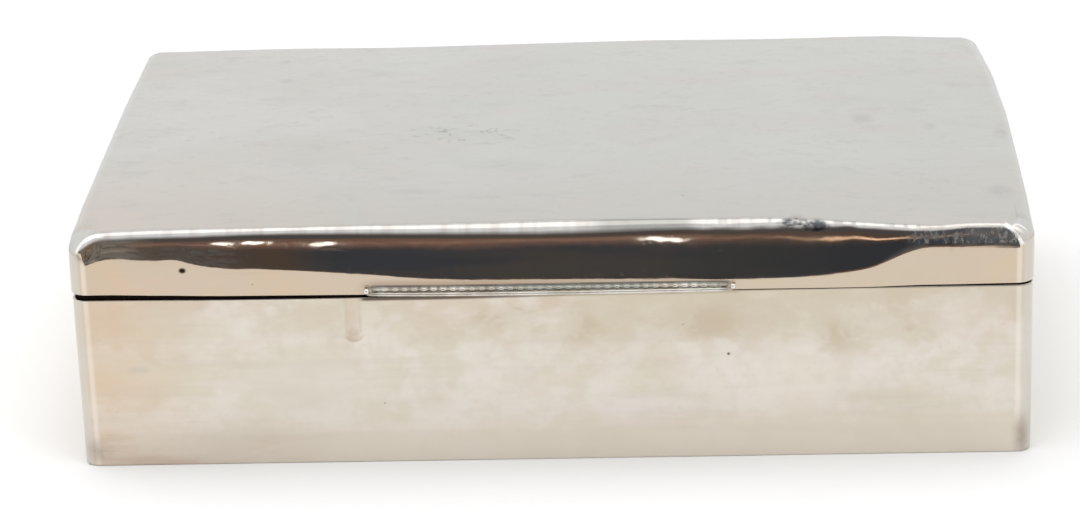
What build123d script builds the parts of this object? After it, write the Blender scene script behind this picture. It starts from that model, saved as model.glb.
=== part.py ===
from build123d import *

import math
import os

# Silver table chest for flatware: a shallow rectangular case of silver sheet, with a crowned lid
# on a long knuckled joint at the back and a slim beaded thumb piece at the front. Cedar boards
# line both halves, cloth-covered panels line the well, and two notched racks hold the flatware.
# Millimetres. X runs along the length, -Y is the front, +Z is up.
# The origin is the middle of the case's footprint, on the table.

# Case
CASE_LENGTH = 260.0
CASE_DEPTH = 160.0
BODY_HEIGHT = 49.0
SHEET = 0.9
CORNER_R = 4.0
FOOT_EDGE_R = 0.5
RIM_EDGE_R = 0.25
BASE_PLATE = 0.9
BASE_FELT = 1.2
FIT = 0.1  # between the sheet and what stands inside it

# Lid
SEAM_GAP = 0.3
LID_HEIGHT = 19.2  # from the lid's rim to the ends of its top
LID_CROWN = 1.5  # the top is arched along its length, this much above its ends
LID_EDGE_R = 3.8
ROUNDING_MARGIN = 0.2  # the top edge is rounded this much tighter than the upright corners
LID_OVERHANG = 0.3  # past the case, at the front and the sides
MAX_OPENING = 98.0  # degrees

# Cedar lining
FLOOR_BOARD = 3.0
LINING = 3.5
LIP = 2.5  # height of the lining above the case's rim
LIP_GAP = 0.4  # between the lip and the lid's frame
LID_FRAME = 3.0
LID_BOARD = 2.5
LID_BOARD_GAP = 0.3  # under the sheet, at the ends of the top

# Cloth-covered panels, padded lid panel and racks
FLOOR_PANEL = 1.5
WALL_PANEL = 1.2
WALL_PANEL_DROP = 1.0  # below the case's rim
LID_PAD = 4.0
LID_PAD_EDGE_R = 1.5
SOFT_GAP = 0.3
RACK_THICKNESS = 9.0
RACK_HEIGHT = 30.0
RACK_SPACING = 112.0
RACK_NOTCHES = 5
NOTCH_WIDTH = 18.0
NOTCH_DEPTH = 21.0
NOTCH_FLOOR_R = 4.0
NOTCH_MOUTH_R = 2.0
RACK_EDGE_R = 0.8

# Joint at the back
HINGE_LENGTH = 216.0
KNUCKLES = 9
KNUCKLE_R = 1.25
KNUCKLE_GAP = 0.2
PIN_R = 0.6
PIN_CLEARANCE = 0.05
PIN_HEAD_R = 1.0
PIN_HEAD = 0.5
CHANNEL_CLEARANCE = 0.3
SEAT_CLEARANCE = 0.02  # between a knuckle's foot and the channel it is soldered into
BEARER_REACH = 2.9  # from the pin's axis to the bearer's nose
BEARER_DROP = 5.0  # from the pin's axis to the bearer's far edge
BEARER_START = 0.8  # from the pin's axis to the bearer's near edge
STOP_MARGIN = 0.5  # degrees between the bearers when the lid is fully open

# Thumb piece
THUMB_LENGTH = 101.0
THUMB_STRIP = 0.3
THUMB_HEIGHT = 2.9
RAIL_HEIGHT = 1.5
RAIL_DEPTH = 1.5  # at its ends
RAIL_BOW = 0.8  # further out at its middle
RAIL_NOSE_R = 0.6
BEAD_R = 0.55
REEL_R = 0.38
BEAD_PITCH = 2.6
BEADING_INSET = 3.4  # from each end of the thumb piece
END_BALL_R = 0.9
BALL_GAP = 0.05
STRIP_TIP_R = 0.8

# Levels and inner sizes that follow
PLATE_BOTTOM = BASE_FELT
BOARD_BOTTOM = PLATE_BOTTOM + BASE_PLATE
LINING_BOTTOM = BOARD_BOTTOM + FLOOR_BOARD
LINING_TOP = BODY_HEIGHT + LIP
PANEL_TOP = LINING_BOTTOM + FLOOR_PANEL
INSIDE_LENGTH = CASE_LENGTH - 2 * SHEET
INSIDE_DEPTH = CASE_DEPTH - 2 * SHEET
LINED_LENGTH = INSIDE_LENGTH - 2 * FIT
LINED_DEPTH = INSIDE_DEPTH - 2 * FIT
LINED_CORNER = CORNER_R - SHEET - FIT
WELL_LENGTH = LINED_LENGTH - 2 * LINING
WELL_DEPTH = LINED_DEPTH - 2 * LINING
PANELLED_DEPTH = WELL_DEPTH - 2 * WALL_PANEL
LID_RIM = BODY_HEIGHT + SEAM_GAP
LID_CORNER_TOP = LID_RIM + LID_HEIGHT
LID_LENGTH = CASE_LENGTH + 2 * LID_OVERHANG
LID_DEPTH = CASE_DEPTH + LID_OVERHANG
LID_CENTRE_Y = -LID_OVERHANG / 2
LID_FRONT_Y = LID_CENTRE_Y - LID_DEPTH / 2
LID_FRAME_BOTTOM = LINING_TOP + LIP_GAP
LID_FRAME_TOP = LID_CORNER_TOP - max(LID_EDGE_R, SHEET + LID_BOARD_GAP + LID_BOARD)
LID_BOARD_INSET = LID_EDGE_R - SHEET
LID_FRAME_LENGTH = LID_LENGTH - 2 * SHEET - 2 * FIT
LID_FRAME_DEPTH = LID_DEPTH - 2 * SHEET - 2 * FIT
CHANNEL_R = KNUCKLE_R + CHANNEL_CLEARANCE
HINGE_Y = CASE_DEPTH / 2 + CHANNEL_R
HINGE_Z = BODY_HEIGHT + SEAM_GAP / 2
BEARER_ANGLE = (MAX_OPENING + STOP_MARGIN) / 2

parts = {}


def slab(length, depth, low, high, corner=0.0, y=0.0):
    """A plate centred on X, from one level to another, with rounded upright corners."""
    outline = RectangleRounded(length, depth, corner) if corner > 0 else Rectangle(length, depth)
    return Pos(0, y, low) * extrude(outline, high - low)


def mitred_frame(length, depth, low, high, thickness, corner=0.0, y=0.0):
    """Four boards on edge, mitred where they meet: front, back, left and right."""
    ring = slab(length, depth, low, high, corner, y)
    ring -= slab(length - 2 * thickness, depth - 2 * thickness, low, high, 0, y)
    out_x, out_y = length / 2 + thickness, depth / 2 + thickness
    in_x, in_y = length / 2 - thickness, depth / 2 - thickness
    mitres = {
        "front": [(-out_x, -out_y), (out_x, -out_y), (in_x, -in_y), (-in_x, -in_y)],
        "back": [(-out_x, out_y), (out_x, out_y), (in_x, in_y), (-in_x, in_y)],
        "left": [(-out_x, -out_y), (-out_x, out_y), (-in_x, in_y), (-in_x, -in_y)],
        "right": [(out_x, -out_y), (out_x, out_y), (in_x, in_y), (in_x, -in_y)],
    }
    return {
        side: ring & Pos(0, y, low) * extrude(
            Polygon(*corners, align=None), high - low, dir=(0, 0, 1)
        )
        for side, corners in mitres.items()
    }


def edges_at(shape, level):
    """The edges of a shape that lie flat at one level."""
    return [e for e in shape.edges() if abs(e.bounding_box().size.Z) < 1e-6
            and abs(e.center().Z - level) < 1e-6]


def case():
    """The sheet band, its base plate and the felt under it."""
    wall = slab(CASE_LENGTH, CASE_DEPTH, 0, BODY_HEIGHT, CORNER_R)
    wall = fillet(edges_at(wall, 0), FOOT_EDGE_R)
    wall = fillet(edges_at(wall, BODY_HEIGHT), RIM_EDGE_R)
    wall -= slab(INSIDE_LENGTH, INSIDE_DEPTH, 0, BODY_HEIGHT, CORNER_R - SHEET)
    parts["case_wall"] = wall
    parts["base_felt"] = slab(LINED_LENGTH, LINED_DEPTH, 0, PLATE_BOTTOM, LINED_CORNER)
    parts["base_plate"] = slab(
        LINED_LENGTH, LINED_DEPTH, PLATE_BOTTOM, BOARD_BOTTOM, LINED_CORNER
    )


def lining():
    """Cedar boards inside the case, and the cloth-covered panels on them."""
    parts["lining_floor"] = slab(
        LINED_LENGTH, LINED_DEPTH, BOARD_BOTTOM, LINING_BOTTOM, LINED_CORNER
    )
    boards = mitred_frame(
        LINED_LENGTH, LINED_DEPTH, LINING_BOTTOM, LINING_TOP, LINING, LINED_CORNER
    )
    for side, board in boards.items():
        parts["lining_" + side] = board
    parts["well_panel_floor"] = slab(WELL_LENGTH, WELL_DEPTH, LINING_BOTTOM, PANEL_TOP)
    panels = mitred_frame(
        WELL_LENGTH, WELL_DEPTH, PANEL_TOP, BODY_HEIGHT - WALL_PANEL_DROP, WALL_PANEL
    )
    for side, panel in panels.items():
        parts["well_panel_" + side] = panel


def rack(x):
    """A rail across the well, with a notch for each stack of flatware."""
    length = PANELLED_DEPTH - 2 * SOFT_GAP
    pitch = length / RACK_NOTCHES
    rail = Rectangle(length, RACK_HEIGHT, align=(Align.CENTER, Align.MIN))
    floor = RACK_HEIGHT - NOTCH_DEPTH
    for i in range(RACK_NOTCHES):
        centre = (i - (RACK_NOTCHES - 1) / 2) * pitch
        notch = Pos(centre, floor) * Rectangle(
            NOTCH_WIDTH, NOTCH_DEPTH, align=(Align.CENTER, Align.MIN)
        )
        rail -= notch
    inner = [v for v in rail.vertices() if abs(v.Y - floor) < 1e-6]
    rail = fillet(inner, NOTCH_FLOOR_R)
    mouths = [v for v in rail.vertices() if abs(v.Y - RACK_HEIGHT) < 1e-6]
    rail = fillet(mouths, NOTCH_MOUTH_R)
    solid = extrude(Plane.YZ * rail, RACK_THICKNESS / 2, both=True)
    long_edges = [e for e in solid.edges() if abs(abs(e.center().X) - RACK_THICKNESS / 2) < 1e-6
                  and e.center().Z > 1e-3]
    solid = fillet(long_edges, RACK_EDGE_R)
    return Pos(x, 0, PANEL_TOP) * solid


def lid_block(inset, low):
    """The lid's outer form, made smaller all round by an inset, down to a level."""
    crown_r = ((LID_LENGTH / 2) ** 2 + LID_CROWN**2) / (2 * LID_CROWN) - inset
    half = LID_LENGTH / 2 - inset
    top = LID_CORNER_TOP + LID_CROWN - inset
    side = top - crown_r + math.sqrt(crown_r**2 - half**2)
    outline = Polyline((half, side), (half, low), (-half, low), (-half, side))
    outline += ThreePointArc((-half, side), (0, top), (half, side))
    front = Plane(origin=(0, LID_FRONT_Y + inset, 0), x_dir=(1, 0, 0), z_dir=(0, -1, 0))
    block = extrude(front * make_face(outline), LID_DEPTH - 2 * inset, dir=(0, 1, 0))
    block = fillet(block.edges().filter_by(Axis.Z), CORNER_R - inset)
    upper = [e for e in block.edges() if e.bounding_box().min.Z > LID_CORNER_TOP - inset - 1]
    return fillet(upper, min(LID_EDGE_R, CORNER_R - ROUNDING_MARGIN) - inset)


def lid():
    """The sheet lid, its cedar frame and board, and the pad inside it."""
    parts["lid_shell"] = lid_block(0, LID_RIM) - lid_block(SHEET, LID_RIM - 1)
    frame = mitred_frame(
        LID_FRAME_LENGTH, LID_FRAME_DEPTH, LID_FRAME_BOTTOM, LID_FRAME_TOP, LID_FRAME,
        LINED_CORNER, LID_CENTRE_Y,
    )
    for side, board in frame.items():
        parts["lid_frame_" + side] = board
    parts["lid_board"] = slab(
        LID_FRAME_LENGTH - 2 * LID_BOARD_INSET, LID_FRAME_DEPTH - 2 * LID_BOARD_INSET,
        LID_FRAME_TOP, LID_FRAME_TOP + LID_BOARD, LINED_CORNER, LID_CENTRE_Y,
    )
    pad_side = 2 * (LID_FRAME + SOFT_GAP)
    pad = slab(
        LID_FRAME_LENGTH - pad_side, LID_FRAME_DEPTH - pad_side,
        LID_FRAME_TOP - LID_PAD, LID_FRAME_TOP, 0, LID_CENTRE_Y,
    )
    parts["lid_pad"] = fillet(edges_at(pad, LID_FRAME_TOP - LID_PAD), LID_PAD_EDGE_R)


def along_x(sketch, start, length):
    """A hinge section, drawn as (back, up) about the pin's axis, run along X from a start."""
    section = Plane(origin=(start, HINGE_Y, HINGE_Z), x_dir=(0, 1, 0), z_dir=(1, 0, 0)) * sketch
    return extrude(section, length, dir=(1, 0, 0))


def polar(radius, degrees):
    """A point of a hinge section."""
    return (radius * math.cos(math.radians(degrees)), radius * math.sin(math.radians(degrees)))


def hinge():
    """The joint: a bearer on each half, the knuckles soldered into them, and the pin."""
    width = (HINGE_LENGTH - (KNUCKLES - 1) * KNUCKLE_GAP) / KNUCKLES
    for side, up in (("body", -1), ("lid", 1)):
        bearer = Polygon(
            (-CHANNEL_R, up * BEARER_START),
            (0, up * BEARER_START),
            polar(CHANNEL_R / 2, up * BEARER_ANGLE),
            polar(BEARER_REACH, up * BEARER_ANGLE),
            (-CHANNEL_R, up * BEARER_DROP),
            align=None,
        )
        bearer -= Circle(CHANNEL_R)
        parts["hinge_bearer_" + side] = along_x(bearer, -HINGE_LENGTH / 2, HINGE_LENGTH)

        foot = Polygon(
            (-CHANNEL_R, up * BEARER_START),
            (0, up * BEARER_START / 2),
            polar(2 * CHANNEL_R, up * BEARER_ANGLE),
            (-CHANNEL_R, up * 2 * CHANNEL_R),
            align=None,
        )
        knuckle = Circle(KNUCKLE_R) + (Circle(CHANNEL_R - SEAT_CLEARANCE) & foot)
        knuckle -= Circle(PIN_R + PIN_CLEARANCE)
        first = 0 if side == "body" else 1
        tubes = [
            along_x(knuckle, -HINGE_LENGTH / 2 + i * (width + KNUCKLE_GAP), width)
            for i in range(first, KNUCKLES, 2)
        ]
        parts["hinge_knuckles_" + side] = Compound(tubes)

    half = HINGE_LENGTH / 2 + PIN_CLEARANCE
    pin = along_x(Circle(PIN_R), -half, 2 * half)
    for start in (-half - PIN_HEAD, half):
        pin += along_x(Circle(PIN_HEAD_R), start, PIN_HEAD)
    parts["hinge_pin"] = pin


def thumb_piece():
    """A slim rail along the lid's front rim, bead-and-reel wire above it and a ball at each end."""
    place = Pos(0, LID_FRONT_Y, LID_RIM)
    half = THUMB_LENGTH / 2
    end = half - 2 * END_BALL_R - BALL_GAP
    nose = ThreePointArc((-end, -RAIL_DEPTH), (0, -RAIL_DEPTH - RAIL_BOW), (end, -RAIL_DEPTH))
    outline = nose + Polyline((end, -RAIL_DEPTH), (end, 0), (-end, 0), (-end, -RAIL_DEPTH))
    rail = extrude(make_face(outline), RAIL_HEIGHT)
    front = [e for e in rail.edges() if e.center().Y < -RAIL_DEPTH - RAIL_BOW / 4]
    rail = fillet(front, RAIL_NOSE_R)
    strip = Pos(0, 0, THUMB_HEIGHT / 2) * Box(
        THUMB_LENGTH, THUMB_STRIP, THUMB_HEIGHT, align=(Align.CENTER, Align.MAX, Align.CENTER)
    )
    tips = [e for e in strip.edges().filter_by(Axis.Y) if e.center().Z > THUMB_HEIGHT / 2]
    strip = fillet(tips, STRIP_TIP_R)
    parts["thumb_piece"] = place * (rail + strip)

    run = THUMB_LENGTH - 2 * BEADING_INSET
    count = int(run / BEAD_PITCH) + 1
    reach = (count - 1) * BEAD_PITCH
    wire = Pos(0, -THUMB_STRIP - BEAD_R, RAIL_HEIGHT + BEAD_R)
    beading = Rot(0, 90, 0) * Cylinder(REEL_R, reach)
    for i in range(count):
        beading += Pos(i * BEAD_PITCH - reach / 2, 0, 0) * Sphere(BEAD_R)
    parts["thumb_piece_beading"] = place * wire * beading

    balls = [
        place * Pos(x, -THUMB_STRIP - END_BALL_R, THUMB_HEIGHT / 2) * Sphere(END_BALL_R)
        for x in (END_BALL_R - half, half - END_BALL_R)
    ]
    parts["thumb_piece_end_balls"] = Compound(balls)


case()
lining()
parts["rack_left"] = rack(-RACK_SPACING / 2)
parts["rack_right"] = rack(RACK_SPACING / 2)
lid()
hinge()
thumb_piece()

os.makedirs("parts", exist_ok=True)
for node, shape in parts.items():
    export_step(shape, f"parts/{node}.step")
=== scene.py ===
import math

import bmesh
import bpy
from mathutils import Matrix, Vector, noise


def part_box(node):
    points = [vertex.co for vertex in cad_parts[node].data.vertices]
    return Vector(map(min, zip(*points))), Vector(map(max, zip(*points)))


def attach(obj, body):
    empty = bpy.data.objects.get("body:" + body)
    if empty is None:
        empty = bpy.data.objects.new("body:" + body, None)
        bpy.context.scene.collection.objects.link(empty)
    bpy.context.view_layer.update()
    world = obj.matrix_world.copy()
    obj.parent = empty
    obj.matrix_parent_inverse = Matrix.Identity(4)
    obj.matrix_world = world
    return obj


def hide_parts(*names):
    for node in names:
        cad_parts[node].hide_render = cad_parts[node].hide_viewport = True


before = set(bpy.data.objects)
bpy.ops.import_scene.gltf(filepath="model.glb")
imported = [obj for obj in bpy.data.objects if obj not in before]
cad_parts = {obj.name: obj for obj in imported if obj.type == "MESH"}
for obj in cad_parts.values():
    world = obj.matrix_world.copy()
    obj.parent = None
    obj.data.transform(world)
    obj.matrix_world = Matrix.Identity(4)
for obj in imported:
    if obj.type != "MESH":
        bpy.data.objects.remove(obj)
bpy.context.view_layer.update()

# Silver table chest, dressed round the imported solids. Shapes are worked out in millimetres in the
# row frame and written to the meshes in metres. -Y is the front.
MM = 0.001


def box_mm(node):
    """A node's lowest and highest corner, in millimetres."""
    low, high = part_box(node)
    return Vector(low) / MM, Vector(high) / MM


CASE_LOW, CASE_HIGH = box_mm("case_wall")
LID_LOW, LID_HIGH = box_mm("lid_shell")
HALF_LENGTH = CASE_HIGH.x
FRONT = CASE_LOW.y
BACK = CASE_HIGH.y
BODY_HEIGHT = CASE_HIGH.z
LID_RIM = LID_LOW.z
SHEET = 0.9
CASE_CORNER_R = 4.0
LID_CORNER_R = 5.0
TOP_EDGE_R = 3.4  # round the sides and the back
TOP_EDGE_MOST = 5.0
CORNER_DROP = (2.4, 1.6)  # how far the left and right front corners are knocked down
CORNER_REACH = 9.0  # mm from a corner, over which that dies out
CROWN = 1.5  # the arch of the lid's top in the solids
LID_HEIGHT = LID_HIGH.z - LID_RIM - CROWN
FOOT_EDGE_R = 0.5
RIM_EDGE_R = 0.14
RIM_GUARD = 0.12  # a row this far from a rounded rim keeps the wall beside it flat

# The sheet is old and hand-worked. These say how far it has moved, along its length, in mm.
LIFT_AT_RIM = ((-130, 1.5), (-95, 0.75), (-50, 0.25), (-15, 0.0), (100, 0.0), (130, 0.3))
TOP_AT_FRONT = ((-130, -0.9), (-118, -0.55), (-106, -0.3), (-82, -0.3), (-60, -0.35), (-28, -0.6), (5, -0.45),
                (29, -0.4), (46, -0.6), (62, -0.7), (79, -1.5), (91, -2.35), (103, -2.95), (113, -2.4),
                (130, -2.6))
TOP_AT_BACK = ((-130, 0.8), (-85, 1.1), (-50, 0.8), (25, 1.4), (60, 1.1), (100, 1.2), (130, 0.2))
BODY_RIM = ((-130, 0.1), (-85, -0.3), (-45, -0.35), (0, -0.1), (60, 0.0), (130, 0.0))
# The height on the lid's front above which it leans back: a shoulder pressed into the sheet.
SHOULDER = ((-130, 10.1), (-125, 11.0), (-118, 12.2), (-108, 11.4), (-101, 11.6), (-95, 9.8), (-86, 8.5),
            (-77, 8.2), (-61, 7.0), (-52, 6.25), (-42, 5.3), (-32, 4.4), (-20, 3.9), (0, 3.6), (20, 3.3),
            (42, 2.8), (56, 2.7), (70, 3.4), (79, 4.6), (87, 6.6), (95, 11.1), (101, 13.5), (110, 13.2),
            (121, 12.9), (130, 12.6))
# The same without its sharp turns. What lies above it follows this one.
BROAD_SHOULDER = ((-130, 11.5), (-110, 11.2), (-75, 8.2), (-40, 5.0), (-15, 4.0), (40, 3.4), (62, 3.6),
                  (100, 10.0), (130, 12.3))
FRONT_R = 2.1
# The radius of the lid's top edge along the front.
FRONT_EDGE_R = ((-130, 4.9), (-127, 4.3), (-124, 3.2), (-119, 2.4), (-98, 2.5), (-82, 2.1), (-60, 2.3),
                (-30, 2.9), (-4, 3.6), (14, 3.6), (36, 3.1), (54, 3.3), (70, 2.6), (80, 2.0), (95, 1.9),
                (110, 1.5), (121, 1.6), (124, 2.5), (127, 3.9), (130, 4.9))
LEAN_AT_SHOULDER = 5.3  # degrees
LEAN_AT_EDGE = 12.0
SHOULDER_STEP = 1.1
SHOULDER_WIDTH = 0.7  # mm
LEAN_FADE = 70.0  # mm back from the front, over which the lean dies out
RIGHT_BOW = 0.9  # the lid's right side bulges this far at its middle
LEFT_BACK_IN = 0.9  # how far the left back corner is knocked in
RIGHT_BACK_IN = ((1.3, 0.50, 0.75), (3.0, 0.74, 1.02))  # the right one: mm, and between which depths it grows


def along(points, x):
    """A smooth curve through points (x, value), level beyond its ends."""
    if x <= points[0][0]:
        return points[0][1]
    if x >= points[-1][0]:
        return points[-1][1]
    i = next(n for n in range(1, len(points)) if x <= points[n][0])

    def slope(n):
        if n == 0 or n == len(points) - 1:
            return 0.0
        return (points[n + 1][1] - points[n - 1][1]) / (points[n + 1][0] - points[n - 1][0])

    (x0, y0), (x1, y1) = points[i - 1], points[i]
    run = x1 - x0
    t = (x - x0) / run
    a, b = y0 + slope(i - 1) * run / 3, y1 - slope(i) * run / 3
    u = 1 - t
    return u * u * u * y0 + 3 * u * u * t * a + 3 * u * t * t * b + t * t * t * y1


def smooth(low, high, x):
    """0 below low, 1 above high, and a smooth step between them."""
    t = min(1.0, max(0.0, (x - low) / (high - low)))
    return t * t * (3 - 2 * t)


def ripple(point, scale, seed=0.0):
    """Smooth noise, from about -1 to 1, with features of about scale mm."""
    return noise.noise(Vector(point) / scale + Vector((seed, 0.37 * seed, -1.7 * seed)))


def limit(value, bound):
    return max(-bound, min(bound, value))


# ---------------------------------------------------------------- the worked forms of case and lid


def lean_from_rim(shoulder, h):
    """How far a front with its shoulder at this height leans back by h mm above its rim, in degree-mm."""
    edge = LID_HEIGHT - FRONT_R
    if h < shoulder:
        straight = LEAN_AT_SHOULDER * h * h / (2 * shoulder)
    else:
        rise = (LEAN_AT_EDGE - LEAN_AT_SHOULDER) / (edge - shoulder)
        over = min(h, edge) - shoulder
        straight = LEAN_AT_SHOULDER * (shoulder / 2 + over) + rise * over * over / 2
        straight += LEAN_AT_EDGE * max(0.0, h - edge)
    w = SHOULDER_WIDTH
    step = w * (math.log(math.cosh((h - shoulder) / w)) - math.log(math.cosh(shoulder / w)))
    return straight + SHOULDER_STEP * step


def lean(x, h):
    """How far the lid's front has leant back, h mm above its rim."""
    shoulder = along(SHOULDER, x)
    at_top = lean_from_rim(along(BROAD_SHOULDER, x), LID_HEIGHT) - lean_from_rim(shoulder, LID_HEIGHT)
    return math.radians(lean_from_rim(shoulder, h) + at_top)


def lid_form(p):
    """Where a point of the plain lid lies on the worked one."""
    x, y, z = p
    h = z - LID_RIM
    depth = (y - FRONT) / (BACK - FRONT)  # 0 at the front, 1 at the back
    share = smooth(0.0, 1.0, depth)
    lift = along(LIFT_AT_RIM, x) * (1 - smooth(0.0, 0.85, depth))
    top = along(TOP_AT_FRONT, x) * (1 - share) + along(TOP_AT_BACK, x) * share
    rise = max(0.0, min(1.0, h / LID_HEIGHT))
    off_corner = math.hypot(HALF_LENGTH - abs(x), y - FRONT) / CORNER_REACH
    drop = CORNER_DROP[0 if x < 0 else 1] * (1 - smooth(0.0, 1.0, off_corner))
    z += lift * (1 - rise) + top * rise - drop * (rise if x < 0 else rise**4)
    y += lean(x, max(h, 0.0)) * (1 - smooth(0.0, LEAN_FADE, y - FRONT))
    side = smooth(0.0, HALF_LENGTH, x)
    x += RIGHT_BOW * side * math.sin(math.pi * min(1.0, max(0.0, depth))) * rise
    left_in = LEFT_BACK_IN * smooth(0.65, 1.0, depth) * smooth(60, 130, -x)
    right_in = sum(most * smooth(low, high, depth) for most, low, high in RIGHT_BACK_IN) * smooth(60, 130, x)
    x += (left_in - right_in) * rise**2
    return Vector((limit(x, LID_HIGH.x), y, z))


def case_form(p):
    """Where a point of the plain case lies on the worked one."""
    x, y, z = p
    front = 1 - smooth(0.0, 40.0, y - FRONT)
    return Vector((x, y, z + along(BODY_RIM, x) * front * max(0.0, z) / BODY_HEIGHT))


# ---------------------------------------------------------------- mesh tools


def placed(name, data):
    """A new object in the scene."""
    obj = bpy.data.objects.new(name, data)
    bpy.context.scene.collection.objects.link(obj)
    return obj


def dressed(name, mesh, material, body, node):
    """A mesh as a piece that rides on a body in the place of a node."""
    obj = placed(name, mesh)
    mesh.materials.append(material)
    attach(obj, body)
    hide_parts(node)
    return obj


def piece(name, verts, faces, material, body, node):
    """A piece from points in millimetres."""
    mesh = bpy.data.meshes.new(name)
    mesh.from_pydata([Vector(v) * MM for v in verts], [], faces)
    if mesh.validate():
        print("validate changed", name)
    work = bmesh.new()
    work.from_mesh(mesh)
    bmesh.ops.recalc_face_normals(work, faces=work.faces)
    work.to_mesh(mesh)
    work.free()
    mesh.polygons.foreach_set("use_smooth", [True] * len(mesh.polygons))
    return dressed(name, mesh, material, body, node)


def spaced(low, high, step):
    """Even places from low to high, about a step apart."""
    count = max(1, round((high - low) / step))
    return [low + (high - low) * i / count for i in range(count + 1)]


ARC_STEPS = 6  # facets over half of a rounded corner
SOFT_ARC_STEPS = 3
BOARD_CUT = 6.0  # how finely a board is cut, in mm


def round_ends(half, radius, step, arc_steps=ARC_STEPS):
    """Places from -half to half whose last stretches wrap evenly round an edge."""
    arc = [radius * math.tan(math.radians(45 * i / arc_steps)) for i in range(1, arc_steps + 1)]
    flat = spaced(-half + radius, half - radius, step)
    return [-half + radius - a for a in reversed(arc)] + flat + [half - radius + a for a in arc]


def skin_of(loops, around):
    """Faces that join loops of points, with this many in each, into a solid with both ends closed."""
    faces = []
    for s in range(loops - 1):
        for i in range(around):
            j = (i + 1) % around
            faces.append([s * around + i, s * around + j, (s + 1) * around + j, (s + 1) * around + i])
    last = (loops - 1) * around
    return faces + [list(range(around))[::-1], [last + i for i in range(around)]]


def sheet_shell(half_x, half_y, centre_y, corner_r, rows, top, edge_r, form, wave, steps):
    """Points and faces of a bent sheet: four walls with rounded corners, and a top if there is one.

    rows are ("wall", z, eaten) up the walls, then ("rise", share) to the rounded edge and ("arc", tilt) over it.
    edge_r gives the rounded edge's radius at a place; wave moves a point along its normal.
    """
    xs = round_ends(half_x, corner_r, steps[0])
    ys = round_ends(half_y, corner_r, steps[1])
    nx, ny, last = len(xs) - 1, len(ys) - 1, len(rows) - 1
    verts, faces, index = [], [], {}

    def vertex(i, j, k, skin):
        key = (i, j, k, skin)
        if key in index:
            return index[key]
        kind, *value = rows[k]
        r = edge_r(xs[i], ys[j] + centre_y)
        inset, eaten, tilt = 0.0, 0.0, 0.0
        if kind == "wall":
            z, eaten = value
        elif kind == "rise":
            z = top - TOP_EDGE_MOST + value[0] * (TOP_EDGE_MOST - r)
        else:
            tilt = math.radians(value[0])
            z, inset = top - r + r * math.sin(tilt), r * (1 - math.cos(tilt))
        inset += (SHEET * math.cos(tilt) - eaten) if skin else eaten
        z -= SHEET * math.sin(tilt) if skin else 0.0
        core = Vector((limit(xs[i], half_x - corner_r), limit(ys[j], half_y - corner_r), 0))
        out = Vector((xs[i], ys[j], 0)) - core
        length = out.length
        normal = Vector((0, 0, 1))
        if length > 1e-9:
            reach = max(abs(out.x), abs(out.y)) / corner_r * (corner_r - inset)
            side = out / length
            normal = side * math.cos(tilt) + Vector((0, 0, math.sin(tilt)))
            core += side * reach
        at = Vector((core.x, core.y + centre_y, z))
        index[key] = len(verts)
        verts.append(form(at + normal * wave(at, normal)))
        return index[key]

    def face(corners, turned):
        quad = [vertex(*corner) for corner in corners]
        faces.append(quad[::-1] if turned else quad)

    ring = [(i, 0) for i in range(nx)] + [(nx, j) for j in range(ny)]
    ring += [(i, ny) for i in range(nx, 0, -1)] + [(0, j) for j in range(ny, 0, -1)]
    for a, b in zip(ring, ring[1:] + ring[:1]):
        for skin in (0, 1):
            for k in range(last):
                face([(*a, k, skin), (*b, k, skin), (*b, k + 1, skin), (*a, k + 1, skin)], skin)
        for k in (0, last) if top is None else (0,):
            face([(*a, k, 0), (*a, k, 1), (*b, k, 1), (*b, k, 0)], k)
    if top is not None:
        for i in range(nx):
            for j in range(ny):
                for skin in (0, 1):
                    around = ((i, j), (i + 1, j), (i + 1, j + 1), (i, j + 1))
                    face([(*at, last, skin) for at in around], skin)
    return verts, faces


def rim_rows(places, low, high, low_r, high_r):
    """Wall rows at these heights, drawn in where a rim is rounded."""
    rows = []
    for z in places:
        eaten = 0.0
        for radius, off in ((low_r, z - low), (high_r, high - z)):
            if radius > off:
                eaten += radius - math.sqrt(max(0.0, radius**2 - (radius - off) ** 2))
        rows.append(("wall", z, eaten))
    return rows


def soft_slab(low, high, radius, step, wave):
    """Points and faces of a slab with every edge rounded and its faces gently waved."""
    centre, half = (low + high) / 2, (high - low) / 2
    radii = [min(radius, 0.8 * h) for h in half]
    grids = [round_ends(half[a], radii[a], step, SOFT_ARC_STEPS) for a in range(3)]
    verts, faces, index = [], [], {}

    def vertex(key):
        if key not in index:
            p = Vector([grids[a][key[a]] for a in range(3)])
            core = Vector([limit(p[a], half[a] - radii[a]) for a in range(3)])
            normal = Vector([(p[a] - core[a]) / radii[a] for a in range(3)]).normalized()
            index[key] = len(verts)
            at = centre + core + Vector([normal[a] * radii[a] for a in range(3)])
            verts.append(at + normal * wave(at, normal))
        return index[key]

    for a, b, c in ((0, 1, 2), (1, 2, 0), (2, 0, 1)):
        for side in (0, len(grids[a]) - 1):
            for i in range(len(grids[b]) - 1):
                for j in range(len(grids[c]) - 1):
                    quad = []
                    for di, dj in ((0, 0), (1, 0), (1, 1), (0, 1)):
                        key = [0, 0, 0]
                        key[a], key[b], key[c] = side, i + di, j + dj
                        quad.append(vertex(tuple(key)))
                    faces.append(quad if side else quad[::-1])
    return verts, faces


def lathe(profile, turns, place):
    """A solid turned about X from (x, radius) stations."""
    verts = []
    for x, radius in profile:
        for i in range(turns):
            a = 2 * math.pi * i / turns
            verts.append(place + Vector((x, radius * math.cos(a), radius * math.sin(a))))
    return verts, skin_of(len(profile), turns)


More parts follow.
